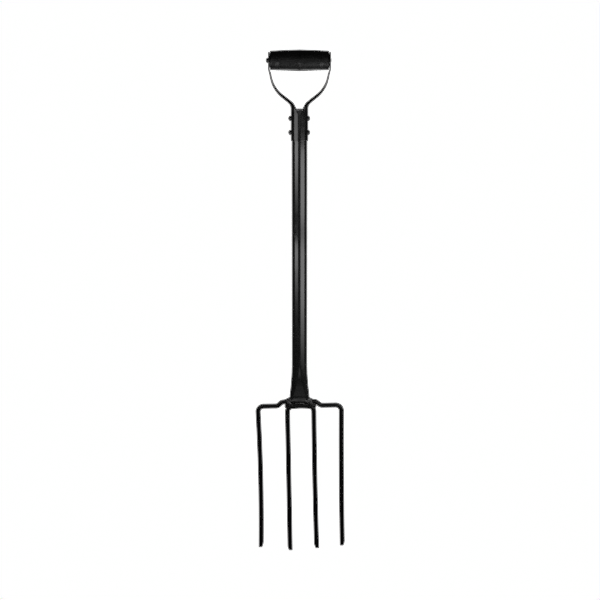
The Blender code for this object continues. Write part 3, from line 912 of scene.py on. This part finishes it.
def make_washer(node):
    low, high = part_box(node)
    half = (high.x - low.x) / 2
    outline = ring_outline(SPACER_RADIUS + GAP, WASHER_RADIUS, half, half * WASHER_ROUNDING)
    add_piece(node, at_grip(lathe(outline, ROUND_SIDES, ring=True), (low.x + high.x) / 2))


def make_spacer():
    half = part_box("grip_spacer_tube")[1].x
    outline = ring_outline(PIN_RADIUS + GAP, SPACER_RADIUS, half, SPACER_EDGE)
    add_piece("grip_spacer_tube", at_grip(lathe(outline, ROUND_SIDES, ring=True)))


def barrel_radius(along):
    """The barrel's crowned radius, with its ring lines cut in and a low ridge round its middle."""
    mid = BARREL_PEAK_RADIUS - RIDGE_HEIGHT
    share = abs(along) / (BARREL_END - BARREL_EDGE)
    radius = mid - (mid - BARREL_END_RADIUS) * share**BARREL_CROWN
    ridge = max(0.0, 1 - (abs(along) / RIDGE_HALF_WIDTH) ** 2)
    for groove in GROOVES:
        depth = max(0.0, 1 - ((abs(along) - groove) / GROOVE_HALF_WIDTH) ** 2)
        radius -= GROOVE_DEPTH * depth
    return radius + RIDGE_HEIGHT * ridge


def barrel_places():
    """Where along the barrel its rings of points go: close together at ridge and grooves."""
    fine = GROOVE_HALF_WIDTH / 3
    places = steps_between(0.0, RIDGE_HALF_WIDTH, fine)
    start = RIDGE_HALF_WIDTH
    for groove in GROOVES:
        places += steps_between(start, groove - GROOVE_HALF_WIDTH, BARREL_STEP)[1:]
        places += steps_between(groove - GROOVE_HALF_WIDTH, groove + GROOVE_HALF_WIDTH, fine)[1:]
        start = groove + GROOVE_HALF_WIDTH
    return places + steps_between(start, BARREL_END - BARREL_EDGE, BARREL_STEP)[1:]


def make_barrel():
    half = [(barrel_radius(x), x) for x in barrel_places()]
    for n in range(1, BARREL_EDGE_STEPS + 1):
        angle = math.pi / 2 * n / BARREL_EDGE_STEPS
        radius = BARREL_END_RADIUS - BARREL_EDGE * (1 - math.cos(angle))
        half.append((radius, BARREL_END - BARREL_EDGE * (1 - math.sin(angle))))
    half += reversed(quarter_round(SPACER_RADIUS + GAP, BARREL_END, BARREL_MOUTH_EDGE, 1, -1))
    mirrored = [(radius, -along) for radius, along in reversed(half[1:])]
    add_piece("grip_barrel", at_grip(lathe([*mirrored, *half], BARREL_SIDES, ring=True)))


# ---------------------------------------------------------------- stage, light and camera


def emitter(name, strength):
    material = bpy.data.materials.new(name)
    material.use_nodes = True
    nodes = material.node_tree.nodes
    nodes.remove(nodes["Principled BSDF"])
    glow = nodes.new("ShaderNodeEmission")
    glow.inputs["Strength"].default_value = strength
    material.node_tree.links.new(glow.outputs[0], nodes["Material Output"].inputs["Surface"])
    return material, glow


def stage_object(name, bm, material):
    mesh = bpy.data.meshes.new(name)
    bm.to_mesh(mesh)
    bm.free()
    mesh.materials.append(material)
    obj = bpy.data.objects.new(name, mesh)
    bpy.context.scene.collection.objects.link(obj)
    return obj


def make_floor():
    """A plain white floor, far enough down that the hanging fork throws no shadow on it."""
    bm = bmesh.new()
    bmesh.ops.create_grid(bm, x_segments=1, y_segments=1, size=FLOOR_SIZE / 2)
    bm.transform(Matrix.Translation((0, 0, FLOOR_HEIGHT)))
    floor = stage_object("floor", bm, emitter("floor_white", 1.0)[0])
    floor.visible_glossy = False
    floor.visible_diffuse = False


def mirror_height(height):
    """The height on a card that the camera sees in the upright shaft at a height."""
    fall = (CAMERA_HEIGHT - height) / CAMERA_DISTANCE
    return height - fall * CARD_DISTANCE


def card_sheet(azimuths, low, high):
    """An upright sheet, curved round the shaft between two azimuths and two heights."""
    bm = bmesh.new()
    columns = []
    for n in range(CARD_STEPS + 1):
        turn = math.radians(azimuths[0] + (azimuths[1] - azimuths[0]) * n / CARD_STEPS)
        x, y = CARD_DISTANCE * math.sin(turn), -CARD_DISTANCE * math.cos(turn)
        columns.append([bm.verts.new((x, y, z)) for z in (low, high)])
    for a, b in zip(columns, columns[1:]):
        bm.faces.new((a[0], b[0], b[1], a[1]))
    return bm


def graded_glow(name, strength, shares):
    """An emitter whose brightness follows (share of the object's height, level) pairs."""
    material, glow = emitter(name, strength)
    tree = material.node_tree
    place = tree.nodes.new("ShaderNodeTexCoord")
    split = tree.nodes.new("ShaderNodeSeparateXYZ")
    ramp = tree.nodes.new("ShaderNodeValToRGB")
    tree.links.new(place.outputs["Generated"], split.inputs[0])
    tree.links.new(split.outputs["Z"], ramp.inputs["Fac"])
    tree.links.new(ramp.outputs["Color"], glow.inputs["Color"])
    stops = ramp.color_ramp.elements
    while len(stops) < len(shares):
        stops.new(0.5)
    for stop, (share, level) in zip(stops, shares):
        stop.position = share
        stop.color = (level, level, level, 1.0)
    return material


def make_card(name):
    """A tall light card that the shaft mirrors as a long highlight."""
    azimuths, strength, keys = CARDS[name]
    low, high = mirror_height(keys[0][0]), mirror_height(keys[-1][0])
    shares = [((mirror_height(height) - low) / (high - low), level) for height, level in keys]
    glow = graded_glow(name + "_glow", strength, shares)
    card = stage_object(name, card_sheet(azimuths, low, high), glow)
    card.visible_camera = False


def make_fill(name):
    """A soft area light."""
    place, target, width, height, power, spread = FILLS[name]
    light = bpy.data.lights.new(name, "AREA")
    light.shape = "RECTANGLE"
    light.size, light.size_y = width, height
    light.energy = power
    light.spread = math.radians(spread)
    lamp = bpy.data.objects.new(name, light)
    lamp.location = place
    aim = Vector(target) - Vector(place)
    lamp.rotation_euler = aim.to_track_quat("-Z", "Y").to_euler()
    lamp.visible_camera = False
    bpy.context.scene.collection.objects.link(lamp)


def make_lights():
    for name in CARDS:
        make_card(name)
    for name in FILLS:
        make_fill(name)


def make_world():
    """White where the camera looks past everything, and a dim surround for everything else."""
    world = bpy.data.worlds.new("surround")
    bpy.context.scene.world = world
    world.use_nodes = True
    nodes, links = world.node_tree.nodes, world.node_tree.links
    nodes.clear()
    seen, unseen = nodes.new("ShaderNodeBackground"), nodes.new("ShaderNodeBackground")
    seen.inputs["Color"].default_value = (1, 1, 1, 1)
    unseen.inputs["Color"].default_value = (SURROUND, SURROUND, SURROUND, 1)
    mix, out = nodes.new("ShaderNodeMixShader"), nodes.new("ShaderNodeOutputWorld")
    rays = nodes.new("ShaderNodeLightPath")
    links.new(rays.outputs["Is Camera Ray"], mix.inputs["Fac"])
    links.new(unseen.outputs[0], mix.inputs[1])
    links.new(seen.outputs[0], mix.inputs[2])
    links.new(mix.outputs[0], out.inputs["Surface"])


def make_camera():
    data = bpy.data.cameras.new("camera")
    data.lens = CAMERA_LENS
    data.sensor_width = 36.0
    camera = bpy.data.objects.new("camera", data)
    camera.location = (CAMERA_X, -CAMERA_DISTANCE, CAMERA_HEIGHT)
    camera.rotation_euler = (math.pi / 2 - CAMERA_PITCH, 0, 0)
    bpy.context.scene.collection.objects.link(camera)
    bpy.context.scene.camera = camera


def make_tones():
    view = bpy.context.scene.view_settings
    view.view_transform = "Standard"
    view.use_curve_mapping = True
    curve = view.curve_mapping.curves[3]
    while len(curve.points) < len(TONE_POINTS):
        curve.points.new(0.5, 0.5)
    for point, place in zip(curve.points, TONE_POINTS):
        point.location = place
    view.curve_mapping.update()


def make_fork():
    make_shaft()
    make_bar("outer_tine_bar", "outer_left", "outer_right", outer_bar_path())
    make_bar("inner_tine_bar", "inner_left", "inner_right", inner_bar_path())
    make_welds()
    make_strap("strap_left", -1)
    make_strap("strap_right", 1)
    make_socket_rivet("socket_rivet_upper")
    make_socket_rivet("socket_rivet_lower")
    make_pin()
    make_washer("grip_washer_left")
    make_washer("grip_washer_right")
    make_spacer()
    make_barrel()


FINISHES = make_finishes()
make_fork()
make_floor()
make_lights()
make_world()
make_camera()
make_tones()
